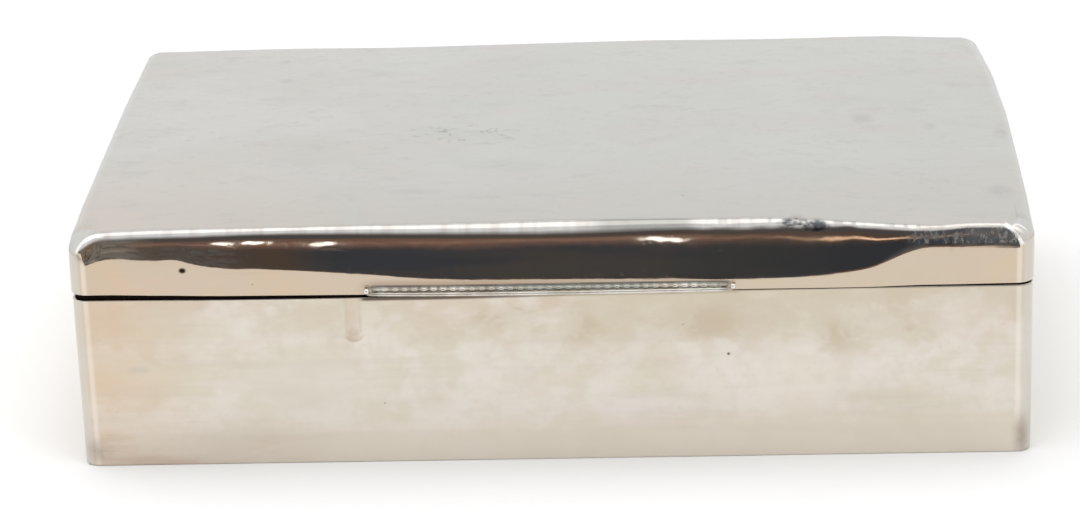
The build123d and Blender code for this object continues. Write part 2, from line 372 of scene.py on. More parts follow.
def bent_board(name, node, material):
    """A lid board's own solid, cut fine enough to follow the worked lid."""
    work = bmesh.new()
    work.from_mesh(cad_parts[node].data)
    bmesh.ops.remove_doubles(work, verts=work.verts, dist=1e-6)
    low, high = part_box(node)
    for axis in range(3):
        direction = Vector((0, 0, 0))
        direction[axis] = 1
        for place in spaced(low[axis] / MM, high[axis] / MM, BOARD_CUT)[1:-1]:
            geometry = work.verts[:] + work.edges[:] + work.faces[:]
            bmesh.ops.bisect_plane(work, geom=geometry, plane_co=direction * place * MM, plane_no=direction)
    for v in work.verts:
        v.co = lid_form(v.co / MM) * MM
    mesh = bpy.data.meshes.new(name)
    work.to_mesh(mesh)
    work.free()
    return dressed(name, mesh, material, "lid", node)


# ---------------------------------------------------------------- materials

BEAD_PITCH = 2.6  # mm from one bead of the thumb piece to the next


class Field:
    """A number or colour that varies over a piece, with what can be worked out from it."""

    def __init__(self, look, socket):
        self.look, self.socket = look, socket

    def math(self, operation, other=0.0, clamp=False):
        return self.look.field("ShaderNodeMath", 0, {0: self, 1: other}, operation=operation, use_clamp=clamp)

    def __mul__(self, other):
        return self.math("MULTIPLY", other)

    def __add__(self, other):
        return self.math("ADD", other)

    def __sub__(self, other):
        return self.math("SUBTRACT", other)

    def __or__(self, other):
        """The larger of the two."""
        return self.math("MAXIMUM", other)

    def __abs__(self):
        return self.math("ABSOLUTE")

    def over(self, low, high, most=1.0, least=0.0):
        """A smooth step up, from least to most, between two values of this."""
        inputs = {"Value": self, "From Min": low, "From Max": high, "To Min": least, "To Max": most}
        return self.look.field("ShaderNodeMapRange", "Result", inputs, interpolation_type="SMOOTHSTEP")

    def under(self, low, high, most=1.0, least=0.0):
        """A smooth step down, from most to least."""
        return self.over(low, high, least, most)

    def rise(self, low, high, most=1.0, least=0.0):
        """A smooth step up between two places in mm."""
        return self.over(low * MM, high * MM, most, least)

    def fall(self, low, high, most=1.0, least=0.0):
        """A smooth step down between two places in mm."""
        return self.over(low * MM, high * MM, least, most)

    def mix(self, a, b):
        """One colour where this is 0, and another where it is 1."""
        return self.look.field("ShaderNodeMix", "Result", {"Factor": self, "A": a, "B": b}, data_type="RGBA")

    def bump(self, strength, distance, normal=None):
        inputs = {"Height": self, "Strength": strength, "Distance": distance}
        if normal:
            inputs["Normal"] = normal
        return self.look.field("ShaderNodeBump", "Normal", inputs)


def coats(colour, *layers):
    """A colour with tones laid over it, each as (mask, tone)."""
    for mask, tone in layers:
        colour = mask.mix(colour, tone)
    return colour


class Nodes:
    """A material's or world's node tree, built a line at a time."""

    def __init__(self, owner):
        owner.use_nodes = True
        self.tree = owner.node_tree

    def field(self, kind, output, inputs, **settings):
        """An output of a new node."""
        made = self.tree.nodes.new(kind)
        for key, value in settings.items():
            setattr(made, key, value)
        for key, value in inputs.items():
            self.put(value, made.inputs[key])
        return Field(self, made.outputs[output])

    def put(self, value, socket):
        """Feed an input from a field, or with a number or a colour."""
        if isinstance(value, Field):
            self.tree.links.new(value.socket, socket)
        else:
            socket.default_value = (*value, 1.0) if socket.type == "RGBA" else value

    def feed(self, node, **values):
        """Feed the inputs of a node that is there from the start."""
        for key, value in values.items():
            self.put(value, self.tree.nodes[node].inputs[key.replace("_", " ")])


class Look(Nodes):
    """A node material in the piece's own coordinates, in metres."""

    def __init__(self, name):
        self.material = bpy.data.materials.new(name)
        super().__init__(self.material)
        self.place = self.field("ShaderNodeTexCoord", "Object", {})
        self.x, self.y, self.z = (self.field("ShaderNodeSeparateXYZ", axis, {0: self.place}) for axis in "XYZ")

    def surface(self, **values):
        """The material, with these on its shader."""
        self.feed("Principled BSDF", **values)
        return self.material

    def metal(self, colour, roughness, normal):
        return self.surface(Base_Color=colour, Metallic=1.0, Roughness=roughness, Normal=normal)

    def glow(self, colour, strength=1.0):
        """The material, giving light of its own."""
        light = self.field("ShaderNodeEmission", "Emission", {"Color": colour, "Strength": strength})
        self.feed("Material Output", Surface=light)
        return self.material

    def vector(self, operation, a, b):
        return self.field("ShaderNodeVectorMath", "Vector", {0: a, 1: b}, operation=operation)

    def noise(self, scale, detail=3.0, roughness=0.5, stretch=None, distortion=0.0):
        """Noise of the place. A small share in stretch draws its features out along that axis."""
        place = self.vector("MULTIPLY", self.place, stretch) if stretch else self.place
        look = {"Scale": scale, "Detail": detail, "Roughness": roughness, "Distortion": distortion}
        return self.field("ShaderNodeTexNoise", "Fac", {"Vector": place, **look})

    def away(self, at, stretch=(1, 1, 1)):
        """How far this is from a place given in mm."""
        off = self.vector("SUBTRACT", self.place, [v * MM for v in at])
        off = self.vector("MULTIPLY", off, stretch)
        return self.field("ShaderNodeVectorMath", "Value", {0: off}, operation="LENGTH")

    def spot(self, at, radius, soft=0.5, stretch=(1, 1, 1)):
        """1 within a radius of a place, both in mm, and 0 outside, with a soft edge."""
        return self.away(at, stretch).fall(radius * (1 - soft), radius)

    def ring(self, at, radius, width):
        """1 in a ring of this width just outside a radius of a place, all in mm."""
        away = self.away(at)
        return away.rise(radius - 0.15, radius + 0.05) * away.fall(radius + width, radius + width + 0.35)


# Marks on the sheet, each as place in mm, radius in mm, softness, stretch, tone and strength.
OLIVE = (0.520, 0.435, 0.325)  # tarnish, broken up like the wall's own mottling
HANDLED = (0.430, 0.430, 0.410)  # smudges on the top
STAINS = (
    ((67.0, -80, 22.0), 24.0, 1.0, (1, 1, 1.6), (0.755, 0.690, 0.630), 0.55),
    ((-69.0, -80, 24.0), 20.0, 1.0, (0.8, 1, 1.5), (0.620, 0.580, 0.500), 0.55),
    ((60.0, -80, 46.0), 90.0, 0.8, (1, 1, 5.0), (0.560, 0.490, 0.385), 0.62),
    ((-118.0, -80, 42.0), 16.0, 1.0, (1, 1, 1), (0.610, 0.455, 0.320), 0.42),
    ((-13.0, -80, 43.0), 12.0, 0.8, (1, 1, 2.2), OLIVE, 0.75),
    ((9.0, -80, 38.5), 9.0, 0.8, (1, 1, 1.5), OLIVE, 0.65),
    ((41.5, -80, 39.5), 15.0, 0.8, (1, 1, 2.2), OLIVE, 0.75),
    ((77.0, -80, 35.0), 9.5, 0.8, (1, 1, 1.3), OLIVE, 0.65),
    ((100.0, -80, 38.0), 8.0, 0.8, (1, 1, 1.1), OLIVE, 0.60),
    ((-125.5, -80, 4.5), 5.5, 0.9, (1, 1, 1.2), (0.36, 0.30, 0.25), 0.6),
    ((127.0, -79.5, 5.0), 7.0, 0.9, (2.2, 1, 0.8), (0.36, 0.29, 0.24), 0.75),
    ((-53.9, -80, 43.0), 7.0, 0.7, (2.9, 1, 1.0), (0.60, 0.50, 0.40), 0.5),
    ((-53.9, -80, 38.0), 2.6, 0.8, (1.1, 1, 0.9), (0.54, 0.44, 0.34), 0.55),
    ((-113.0, -80, 28.5), 3.0, 0.9, (0.6, 1, 1.6), (0.50, 0.46, 0.42), 0.5),
    ((-53.9, -80, 44.0), 6.0, 0.7, (3.2, 1, 1.0), (0.60, 0.50, 0.40), 0.6),
    ((88.1, 4.2, 70), 4.5, 0.9, (1, 0.7, 0), HANDLED, 0.55),
    ((107.2, -2.3, 70), 3.0, 0.9, (1, 0.6, 0), HANDLED, 0.40),
    ((122.8, -53.8, 70), 5.5, 0.9, (1, 0.7, 0), HANDLED, 0.60),
    ((127.0, -8.8, 70), 3.5, 0.9, (1.2, 0.6, 0), HANDLED, 0.65),
    ((-82.6, 45.7, 70), 3.5, 0.9, (0.8, 1.2, 0), HANDLED, 0.45),
    ((-38.0, -50.4, 70), 7.0, 0.9, (0.6, 2.0, 0), HANDLED, 0.35),
)
PITS = (  # the same, without a strength
    ((-99.0, -80.3, 57.4), 1.15, 0.6, (0.85, 0.5, 1.1), (0.030, 0.016, 0.010)),
    ((47.9, -80, 30.4), 0.55, 0.6, (1, 1, 1), (0.17, 0.13, 0.11)),
    ((-80.2, -80, 53.2), 0.55, 0.5, (1, 1, 1), (0.12, 0.09, 0.07)),
)
DRIP_X = -53.5


class SheetLook(Look):
    """Old silver sheet: cool and smudged on top, warm and blotched with tarnish on its walls."""

    def __init__(self, name):
        super().__init__(name)
        normal = self.field("ShaderNodeTexCoord", "Normal", {})
        self.tilt = self.field("ShaderNodeSeparateXYZ", "Z", {0: normal})
        self.up = self.tilt.over(0.20, 0.60)
        self.side = abs(self.x)
        self.on_lid = self.z.rise(49.0, 49.4)
        self.streaks = self.noise(46, 4.0, 0.65, (0.35, 0.5, 2.2), 0.3)
        self.clouds = self.noise(27, 3.0, 0.6, (0.8, 1.0, 1.7))
        self.patches = self.noise(58, 3.0, 0.6, (0.8, 1.0, 1.3), 0.4)
        self.fine = self.noise(160, 4.0, 0.6)
        self.mottled = self.noise(85, 4.0, 0.65, (0.8, 1.0, 1.1), 0.3).over(0.46, 0.62)
        self.pink = self.noise(33, 3.0, 0.6, (0.8, 1, 1.9), 0.2).over(0.54, 0.66, 0.42)
        self.smudge = self.noise(90, 4.0, 0.65, (0.7, 1.3, 1.0))
        # The worn patch at the lid's right end.
        self.worn = self.y.fall(-79, -77) * self.z.rise(60.5, 61.5) * self.x.rise(94.5, 99)

    def case_walls(self):
        """The case's tones, which also lie under the lid's."""
        x, z, patches, streaks = self.x, self.z, self.patches, self.streaks
        cool = x.rise(-90, -30) * z.rise(10, 14) * z.fall(30, 42, 0.55) * patches.under(0.40, 0.60, 1.0, 0.2)
        where = z.rise(24, 46, 0.75, 0.20) * x.rise(-90, 0, 1.0, 0.6) | z.fall(6, 13, 0.6)
        where |= x.fall(-125, -80, 0.75)
        upper = z.rise(36, 48.5) * patches.over(0.42, 0.58, 0.75, 0.1)
        foot = (z + patches * 0.003).fall(9.5, 11.5) * x.rise(-110, -90, 1.0, 0.5) * 0.55
        rusty = x.fall(-100, -50) * z.fall(6, 16) * streaks.under(0.40, 0.55, 1.0, 0.2)
        return coats(
            self.clouds.over(0.40, 0.60).mix((0.700, 0.650, 0.585), (0.650, 0.592, 0.500)),
            (patches.over(0.50, 0.62, 0.55), (0.610, 0.565, 0.455)),
            (streaks.over(0.52, 0.66, 0.6), (0.715, 0.655, 0.600)),
            (self.pink, (0.680, 0.585, 0.545)),
            (cool, (0.702, 0.668, 0.625)),
            (self.mottled * where, (0.580, 0.490, 0.385)),
            (self.noise(210, 4.0, 0.7).over(0.45, 0.70, 0.35), (0.590, 0.530, 0.440)),
            (x.fall(-132, -88) * streaks.under(0.35, 0.60, 1.0, 0.45), (0.650, 0.500, 0.370)),
            (upper, self.clouds.over(0.45, 0.55).mix((0.600, 0.500, 0.395), (0.585, 0.525, 0.415))),
            (foot, (0.565, 0.530, 0.435)),
            (rusty, (0.520, 0.385, 0.290)),
        )

    def walls(self):
        """All walls, with painted highlights down the upright corners, painted light towards the foot, and
        painted shade over and under the thumb piece and along the seam at its right.
        """
        x, y, z, side = self.x, self.y, self.z, self.side
        lid = self.patches.over(0.38, 0.62).mix((0.595, 0.470, 0.342), (0.575, 0.475, 0.375))
        lid = self.pink.mix(lid, (0.620, 0.470, 0.370))
        tan = x.fall(-110, 60, 0.97, 0.85) * y.fall(-72, -60, 1.0, 0.25)
        brushed = self.noise(120, 3.0, 0.6, (0.16, 0.5, 2.6))
        # Painted shade in the gap under the thumb piece, and along the seam to its right.
        under_thumb = (z - x.rise(-35, 10, 0.0004)).rise(47.4, 48) * side.fall(50, 52)
        at_rim = under_thumb * x.fall(-30, 20, 0.9, 0.5) | z.rise(48.4, 48.8, 0.55) * x.rise(45, 52)
        # Painted shade on the lid's wall just over the thumb piece.
        over_thumb = z.fall(52, 54.5, 0.75) * self.on_lid * side.fall(46, 53) * y.fall(-78, -76)
        return coats(
            self.case_walls(),
            (self.on_lid * tan, lid),
            (brushed.over(0.50, 0.72, 0.30), (0.560, 0.500, 0.430)),
            # Painted light: the walls are lighter towards the foot, against the floor's shadow mirrored there.
            (z.fall(1, 16, 0.75) * x.rise(-120, -40, 1.0, 0.45), (0.785, 0.710, 0.625)),
            # Painted highlights: lighter strips down the upright corners.
            (side.rise(124.8, 125.8) * side.fall(126.2, 127, 0.55), (0.790, 0.735, 0.660)),
            (side.rise(126.6, 127.8, 0.75) * y.rise(-75.8, -77.5), (0.600, 0.575, 0.530)),
            # Painted shade: near black under the thumb piece and along the seam.
            (at_rim * z.fall(49.1, 49.2) * y.fall(-78.5, -77.5), (0.085, 0.062, 0.045)),
            # Painted shade over the thumb piece.
            (over_thumb, (0.36, 0.27, 0.20)),
        )

    def top(self):
        """The lid's top: grey, warmer towards the front, with smudges, nicks and its front edge line."""
        x, y, tilt = self.x, self.y, self.tilt
        nicks = self.noise(260, 3.0, 0.6, (0.9, 1.1, 1.0), 0.8).over(0.54, 0.64, 0.7)
        edge = tilt.under(0.965, 0.985) * y.fall(-74, -72)
        uneven = self.noise(170, 2.0, 0.6, (1.0, 0.0, 0.0)).over(0.42, 0.62)
        dents = self.noise(290, 1.0, 0.5, (1.0, 0.0, 0.0)).over(0.50, 0.62)
        dents *= x.rise(38, 42) * x.fall(100, 110) * tilt.over(0.72, 0.80)
        dull = x.rise(8, 16) * x.fall(36, 42) | dents * 0.8
        return coats(
            self.clouds.over(0.40, 0.60).mix((0.608, 0.600, 0.574), (0.590, 0.574, 0.538)),
            (x.rise(-100, 0, 0.65), (0.568, 0.572, 0.540)),
            (y.fall(-80, -20) * x.fall(-130, 130, 0.9, 0.7), (0.545, 0.518, 0.480)),
            (y.fall(-80, 0) * x.fall(-130, -30, 0.9), (0.600, 0.542, 0.490)),
            (self.noise(38, 4.0, 0.6, (0.7, 1.4, 1.0)).over(0.50, 0.64, 0.35), (0.585, 0.540, 0.500)),
            (self.noise(31, 4.0, 0.6, (0.8, 1.3, 1.0), 0.5).over(0.52, 0.66, 0.45), (0.530, 0.545, 0.505)),
            (self.smudge.over(0.55, 0.72, 0.4), (0.49, 0.485, 0.465)),
            (self.noise(300, 4.0, 0.7, (0.8, 1.0, 1.0)).over(0.52, 0.70, 0.35), (0.50, 0.49, 0.47)),
            (self.spot((-26.0, -4.0, 70.0), 22.0, 0.6, (1.0, 1.9, 0.0)) * nicks, (0.34, 0.335, 0.32)),
            (edge, uneven.mix((0.630, 0.620, 0.600), (0.545, 0.520, 0.505))),
            (edge * dull * 0.85, (0.36, 0.355, 0.34)),
        )

    def corner_highlights(self):
        """Painted highlights: bright lines round the lid's front corners, drawn in the colour."""
        x, z = self.x, self.z
        left = self.ring((-121.5, -79.8, 61.0), 5.95, 0.65) * x.fall(-121.5, -119.5) * z.rise(62, 63.2)
        right = self.ring((112.0, -79.0, 52.0), 16.65, 0.70) * x.rise(121.4, 122.6)
        loop = self.ring((126.0, -78.9, 63.7), 2.3, 0.45) * z.rise(63.2, 64.2) * x.rise(123.8, 125)
        return left | right * z.fall(65.4, 66.2) * z.rise(60, 61.2) | loop

    def drip(self):
        """A run of dried liquid from the rim: two broken sides and a soft, rounded end."""
        z = self.z
        off = abs(self.x + -DRIP_X * MM)
        sides = off.rise(1.0, 1.8) * off.fall(1.8, 2.6, 0.6) * z.rise(37.2, 39) * z.fall(48.4, 48.8)
        arc = self.ring((DRIP_X, -80.0, 38.4), 1.6, 1.0) * z.fall(36.8, 38)
        middle = self.spot((DRIP_X, -80, 38.3), 2.4, 0.5, (1.1, 1, 0.95)) * 0.7
        return (sides | arc | middle) * self.y.fall(-79, -78, 0.85) * self.fine.over(0.38, 0.62, 1.0, 0.45)

    def stained(self, colour):
        """The colour with each stain, pit and bruise where it is."""
        for *place, tone, strength in STAINS:
            mask = self.spot(*place) * self.up if tone == HANDLED else self.spot(*place)
            breaks = self.mottled if tone == OLIVE else self.fine.over(0.32, 0.55)
            colour = (mask * breaks.over(0.0, 1.0, strength, 0.45 * strength)).mix(colour, tone)
        for *place, tone in PITS:
            colour = self.spot(*place).mix(colour, tone)
        bruise = self.spot((65.8, -78.0, 66.9), 5.2, 0.4, (1, 0.4, 5.6))
        bruise |= self.spot((71.6, -78.4, 66.0), 4.6, 0.4, (1, 0.4, 2.9))
        cells = self.field("ShaderNodeTexVoronoi", "Distance", {"Vector": self.place, "Scale": 130})
        return coats(
            colour,
            (self.drip(), (0.505, 0.415, 0.330)),
            (bruise * self.noise(520, 3.0, 0.65).over(0.38, 0.58, 1.0, 0.30), (0.11, 0.118, 0.13)),
            (cells.under(0.0, 0.055) * self.noise(90, 0.0, 0.0).over(0.62, 0.66), (0.22, 0.18, 0.15)),
        )

    def roughness(self, scratches):
        """Near a mirror on the lid's walls, and duller on the case, the top and the worn end."""
        case = self.noise(55, 4.0, 0.6).over(0.3, 0.75, 0.19, 0.085)
        lid = self.noise(90, 4.0, 0.6).over(0.3, 0.75, 0.07, 0.03)
        walls = self.field("ShaderNodeMix", 0, {"Factor": self.on_lid, 2: case, 3: lid}, data_type="FLOAT")
        either = walls | self.up * self.smudge.over(0.35, 0.7, 0.24, 0.10)
        speckle = self.noise(700, 3.0, 0.65, (1.3, 1.0, 0.7)).over(0.42, 0.62, 0.26, 0.02)
        return either.math("ADD", scratches * 0.06, clamp=True).math("ADD", self.worn * speckle, clamp=True)

    def relief(self, scratches):
        """Planishing, scratches, the peel of the dented edge and the grit of the worn end."""
        x, z = self.x, self.z
        hammered = self.noise(110, 2.0, 0.5).bump(0.10, 0.0004)
        scratched = (scratches * z.fall(49, 49.4, 1.0, 0.15) * -1.0).bump(0.05, 0.0001, hammered)
        beaten = x.rise(60, 64) * x.fall(76, 82) * z.rise(64.5, 65.5) * 0.7
        peel = self.noise(620, 3.0, 0.6, (0.8, 1.0, 1.0), 0.4) - 0.5
        grit = self.noise(1250, 2.0, 0.6) - 0.5
        return (peel * beaten + grit * self.worn * 0.20).bump(0.6, 0.00015, scratched)


def sheet_silver(name):
    look = SheetLook(name)
    colour = look.up.mix(look.walls(), look.top())
    # Painted highlights round the lid's front corners, laid over the worn patch.
    colour = coats(colour, (look.worn * 0.85, (0.590, 0.565, 0.530)), (look.corner_highlights(), (0.95, 0.93, 0.90)))
    scratches = look.noise(70, 2.0, 0.5, (0.5, 9.0, 9.0), 0.5).over(0.67, 0.74)
    scratches |= look.noise(75, 2.0, 0.5, (7.0, 0.4, 7.0), 0.4).over(0.67, 0.74)
    return look.metal(look.stained(colour), look.roughness(scratches), look.relief(scratches))


def trim_silver(name):
    """Brighter raised work, dark in its hollows and between its beads: tarnish there, and painted shade."""
    look = Look(name)
    x, side = look.x, abs(look.x)
    z = look.z - x.fall(-50, -15, 0.00025)  # the rim is lifted at the left
    # The strip's top edge, the crease over the rail and the gaps between beads: tarnish and painted shade.
    hollow = z.rise(51.62, 51.78) | z.rise(50.26, 50.36) * z.fall(50.48, 50.58, 0.4)
    row = z.rise(50.55, 50.70) * z.fall(51.60, 51.75) * side.fall(48.0, 48.4)
    between = x.math("PINGPONG", BEAD_PITCH * MM / 2).rise(0.78, 1.10)
    between *= look.noise(75, 1.0, 0.5, (1, 0, 0)).over(0.40, 0.62, 0.75, 0.15)
    ends = side.rise(45.0, 47.5)
    colour = coats(
        look.noise(130, 3.0, 0.6).over(0.40, 0.62).mix((0.86, 0.83, 0.77), (0.66, 0.62, 0.54)),
        # Tarnish and painted shade in the hollows and between the beads.
        (hollow * side.fall(48.0, 48.4, 0.8), (0.16, 0.13, 0.10)),
        (row * between, (0.30, 0.27, 0.22)),
        (row * x.rise(-18, -8) * x.fall(22, 32) * 0.7, (0.44, 0.46, 0.41)),
        (row * x.rise(38.5, 42.5) * 0.6, (0.42, 0.39, 0.34)),
        (ends * 0.7, (0.38, 0.34, 0.28)),
    )
    roughness = look.noise(300, 3.0, 0.6).over(0.3, 0.7, 0.20, 0.10)
    roughness |= (row | ends) * 0.36 | z.fall(50.30, 50.45, 0.42)
    return look.metal(colour, roughness, look.noise(900, 3.0, 0.6).bump(0.06, 0.0001))


def ball_silver(name):
    """The thumb piece's end balls, kept bright by every hand that lifts the lid."""
    look = Look(name)
    colour = look.noise(400, 3.0, 0.6).over(0.45, 0.65).mix((0.93, 0.90, 0.85), (0.86, 0.82, 0.75))
    roughness = look.noise(700, 3.0, 0.6).over(0.3, 0.7, 0.40, 0.30)
    return look.metal(colour, roughness, look.noise(900, 3.0, 0.6).bump(0.06, 0.0001))


def hinge_silver(name, tone):
    """Filed and burnished joint work, dark where the polish never reached."""
    look = Look(name)
    grime = look.noise(480, 4.0, 0.65).over(0.40, 0.72, 0.6)
    drawn = look.noise(500, 2.0, 0.5, (0.05, 3.0, 3.0))
    colour = grime.mix(tone, (0.48, 0.43, 0.36))
    return look.metal(colour, drawn.over(0.3, 0.7, 0.34, 0.16), drawn.bump(0.2, 0.0001))


def cedar(name, grain):
    """Red cedar with its grain along X or Y, and its outer lips by the seam painted near black: painted shade of
    the gap between case and lid.
    """
    look = Look(name)
    side, reach, z = abs(look.x), abs(look.y), look.z
    stretch = (0.06, 1.0, 1.0) if grain == "x" else (1.0, 0.06, 1.0)
    rings = look.noise(170, 4.0, 0.55, stretch, 1.2)
    pores = look.noise(1500, 3.0, 0.6, tuple(s * 0.8 for s in stretch))
    outer = side.rise(128.2, 128.8) | reach.rise(78.2, 78.8) | (side + reach).rise(203.5, 204.5)
    # Painted shade: the outer lips by the seam are near black and barely reflect, for the shade in the gap.
    lip_painted_shade = z.rise(47.5, 48.8) * z.fall(52, 56) * outer
    colour = coats(
        rings.over(0.38, 0.64).mix((0.33, 0.135, 0.055), (0.19, 0.065, 0.028)),
        (pores.over(0.58, 0.70, 0.7), (0.09, 0.035, 0.018)),
        (look.noise(12, 2.0, 0.5).over(0.40, 0.7, 0.35), (0.40, 0.19, 0.09)),
        (lip_painted_shade, (0.012, 0.007, 0.005)),
    )
    return look.surface(Base_Color=colour, Roughness=pores.over(0.3, 0.7, 0.62, 0.42),
                        Normal=pores.bump(0.25, 0.00012, rings.bump(0.15, 0.0002)),
                        Specular_IOR_Level=lip_painted_shade.under(0.0, 1.0, 0.5, 0.02))


def napped_cloth(name, deep, light, worn):
    """Flannel or baize: a short nap over a close twill, worn lighter in places."""
    look = Look(name)
    nap = look.noise(2600, 4.0, 0.7)
    brushed = look.noise(420, 3.0, 0.6, (1.0, 0.45, 0.45), 0.8)
    twill = ((look.x + look.y + look.z) * 5200.0).math("SINE")
    colour = brushed.over(0.45, 0.75, 0.6).mix(nap.over(0.3, 0.7).mix(deep, light), worn)
    return look.surface(Base_Color=colour, Roughness=0.95,
                        Normal=(nap + twill * 0.12).bump(0.5, 0.0003, brushed.bump(0.3, 0.0006)),
                        Sheen_Weight=0.35, Sheen_Roughness=0.45, Sheen_Tint=worn, Specular_IOR_Level=0.2)


SHEET_SILVER = sheet_silver("sheet_silver")
TRIM_SILVER = trim_silver("trim_silver")
BALL_SILVER = ball_silver("ball_silver")
HINGE_SILVER = hinge_silver("hinge_silver", (0.78, 0.74, 0.68))
PIN_SILVER = hinge_silver("pin_silver", (0.62, 0.58, 0.52))
CEDAR_X = cedar("cedar_along", "x")
CEDAR_Y = cedar("cedar_across", "y")
FLANNEL = napped_cloth("brown_flannel", (0.060, 0.032, 0.022), (0.105, 0.060, 0.042), (0.17, 0.105, 0.078))
BAIZE = napped_cloth("green_baize", (0.018, 0.065, 0.036), (0.036, 0.115, 0.062), (0.07, 0.18, 0.11))

# ---------------------------------------------------------------- the sheet case and lid


def case_wave(at, normal):
    """Small waves left by the planishing of the case."""
    return 0.10 * ripple(at, 55, 3.1) + 0.03 * ripple(at, 21, 5.7)


def lid_edge_r(x, y):
    """The radius of the lid's top edge, sharpest along the front."""
    front = 1 - smooth(4.0, 30.0, y - FRONT)
    return TOP_EDGE_R + (along(FRONT_EDGE_R, x) - TOP_EDGE_R) * front


def lid_wave(at, normal):
    """Waves on the lid, and small dents along its front edge."""
    wave = 0.09 * ripple(at, 60, 1.3) + 0.02 * ripple(at, 22, 2.9)
    bend = smooth(0.15, 0.6, normal.z) * (1 - smooth(0.9, 1.0, normal.z))
    at_front = smooth(0.0, 0.3, -normal.y)
    beaten = smooth(38, 48, at.x) * (1 - smooth(78, 90, at.x))
    torn = smooth(92, 100, at.x) + 0.4 * (1 - smooth(-124, -112, at.x))
    lumps = (0.05 + 0.30 * beaten) * ripple((at.x, 0, 0), 4.0, 8.1)
    lumps += 0.14 * (torn + beaten) * ripple(at, 2.4, 2.2)
    return wave + bend * at_front * lumps


heights = [0.0, 0.07, 0.2, FOOT_EDGE_R, FOOT_EDGE_R + RIM_GUARD] + spaced(2.5, BODY_HEIGHT - 2.0, 3.0)
heights += [BODY_HEIGHT - RIM_EDGE_R - RIM_GUARD, BODY_HEIGHT - RIM_EDGE_R, BODY_HEIGHT - 0.05, BODY_HEIGHT]
verts, faces = sheet_shell(
    HALF_LENGTH, (BACK - FRONT) / 2, 0.0, CASE_CORNER_R,
    rows=rim_rows(heights, 0.0, BODY_HEIGHT, FOOT_EDGE_R, RIM_EDGE_R), top=None, edge_r=lambda x, y: 0.0,
    form=case_form, wave=case_wave, steps=(2.5, 3.0),
)
piece("case_band", verts, faces, SHEET_SILVER, "case", "case_wall")

heights = [LID_RIM, LID_RIM + 0.05, LID_RIM + RIM_EDGE_R, LID_RIM + RIM_EDGE_R + RIM_GUARD]
heights += spaced(LID_RIM + 0.8, LID_RIM + LID_HEIGHT - TOP_EDGE_MOST, 0.65)
rows = rim_rows(heights, LID_RIM, math.inf, RIM_EDGE_R, 0.0)
rows += [("rise", 0.33), ("rise", 0.67)] + [("arc", tilt) for tilt in range(0, 91, 9)]
verts, faces = sheet_shell(
    LID_HIGH.x, (LID_HIGH.y - LID_LOW.y) / 2, (LID_HIGH.y + LID_LOW.y) / 2, LID_CORNER_R,
    rows=rows, top=LID_RIM + LID_HEIGHT, edge_r=lid_edge_r, form=lid_form, wave=lid_wave, steps=(1.2, 3.0),
)
piece("lid_cover", verts, faces, SHEET_SILVER, "lid", "lid_shell")

# ---------------------------------------------------------------- the thumb piece

THUMB_LOW, THUMB_HIGH = box_mm("thumb_piece")
BEAD_HIGH = box_mm("thumb_piece_beading")[1]
BALL_LOW, BALL_HIGH = box_mm("thumb_piece_end_balls")
STRIP = 0.3  # how thick the backing strip is
STRIP_TOP = 2.75
RAIL_HEIGHT = 1.05
RAIL_END_DEPTH = 1.5
RAIL_CLEAR = 0.2  # kept back from the solid's face, for the lean
BEAD_R, REEL_R, WIRE_R = 0.58, 0.42, 0.2
BEAD_HALF, REEL_HALF = 0.84, 0.16  # half their lengths along the wire
REEL_OFF = 0.22  # each reel from the middle between two beads
BALL_R = 0.8


def thumb_rail():
    """The half-round rail with its backing strip, drawn in at both ends."""
    half = THUMB_HIGH.x - BALL_R
    front = LID_LOW.y
    mid_depth = front - THUMB_LOW.y - RAIL_CLEAR
    rows, verts = spaced(-half, half, 0.9), []
    nose = [math.radians(a) for a in range(-90, 91, 20)]
    for x in rows:
        t = x / half
        depth = RAIL_END_DEPTH + (mid_depth - RAIL_END_DEPTH) * (1 - t * t)
        near_end = math.sqrt(max(0.0, 1 - smooth(half - 2.4, half, abs(x)) ** 2))
        depth = STRIP + (depth - STRIP) * near_end
        tall = RAIL_HEIGHT + (STRIP_TOP - RAIL_HEIGHT) * (0.35 + 0.65 * near_end)
        r = RAIL_HEIGHT / 2
        section = [(0.0, 0.0)]
        section += [(-(depth - r * 0.8) - r * 0.8 * math.cos(a), r + r * math.sin(a)) for a in nose]
        section += [(-STRIP - 0.02, RAIL_HEIGHT), (-STRIP, tall - 0.15), (-STRIP / 2, tall), (0.0, tall)]
        verts += [lid_form((x, front + dy, THUMB_LOW.z + dz)) for dy, dz in section]
    faces = skin_of(len(rows), len(section))
    piece("thumb_rail", verts, faces, TRIM_SILVER, "lid", "thumb_piece")


def thumb_beading():
    """Bead-and-reel wire: long beads with two thin reels between each pair."""

    def rounded(most, off, half):
        return max(WIRE_R, most * math.sqrt(max(0.0, 1 - (off / half) ** 2)))

    def radius(x):
        off = min(x % BEAD_PITCH, -x % BEAD_PITCH)
        if off < BEAD_HALF:
            return rounded(BEAD_R, off, BEAD_HALF)
        return rounded(REEL_R, abs(BEAD_PITCH / 2 - REEL_OFF - off), REEL_HALF)

    half = BEAD_HIGH.x + 0.6
    stations = []
    for x in spaced(-half, half, 0.13):
        wear = 1 - 0.35 * smooth(0.1, 0.6, ripple((x, 0, 0), 14, 2.4))
        ends = 1 - 0.25 * smooth(half - 8, half, abs(x))
        stations.append((x, ends * (WIRE_R + (radius(x) - WIRE_R) * wear + 0.10 * (1 - wear))))
    at = Vector((0, LID_LOW.y - STRIP - 0.7 * BEAD_R, LID_RIM + RAIL_HEIGHT + 0.1 + BEAD_R))
    verts, faces = lathe(stations, 12, at)
    verts = [lid_form(v) for v in verts]
    piece("bead_and_reel", verts, faces, TRIM_SILVER, "lid", "thumb_piece_beading")


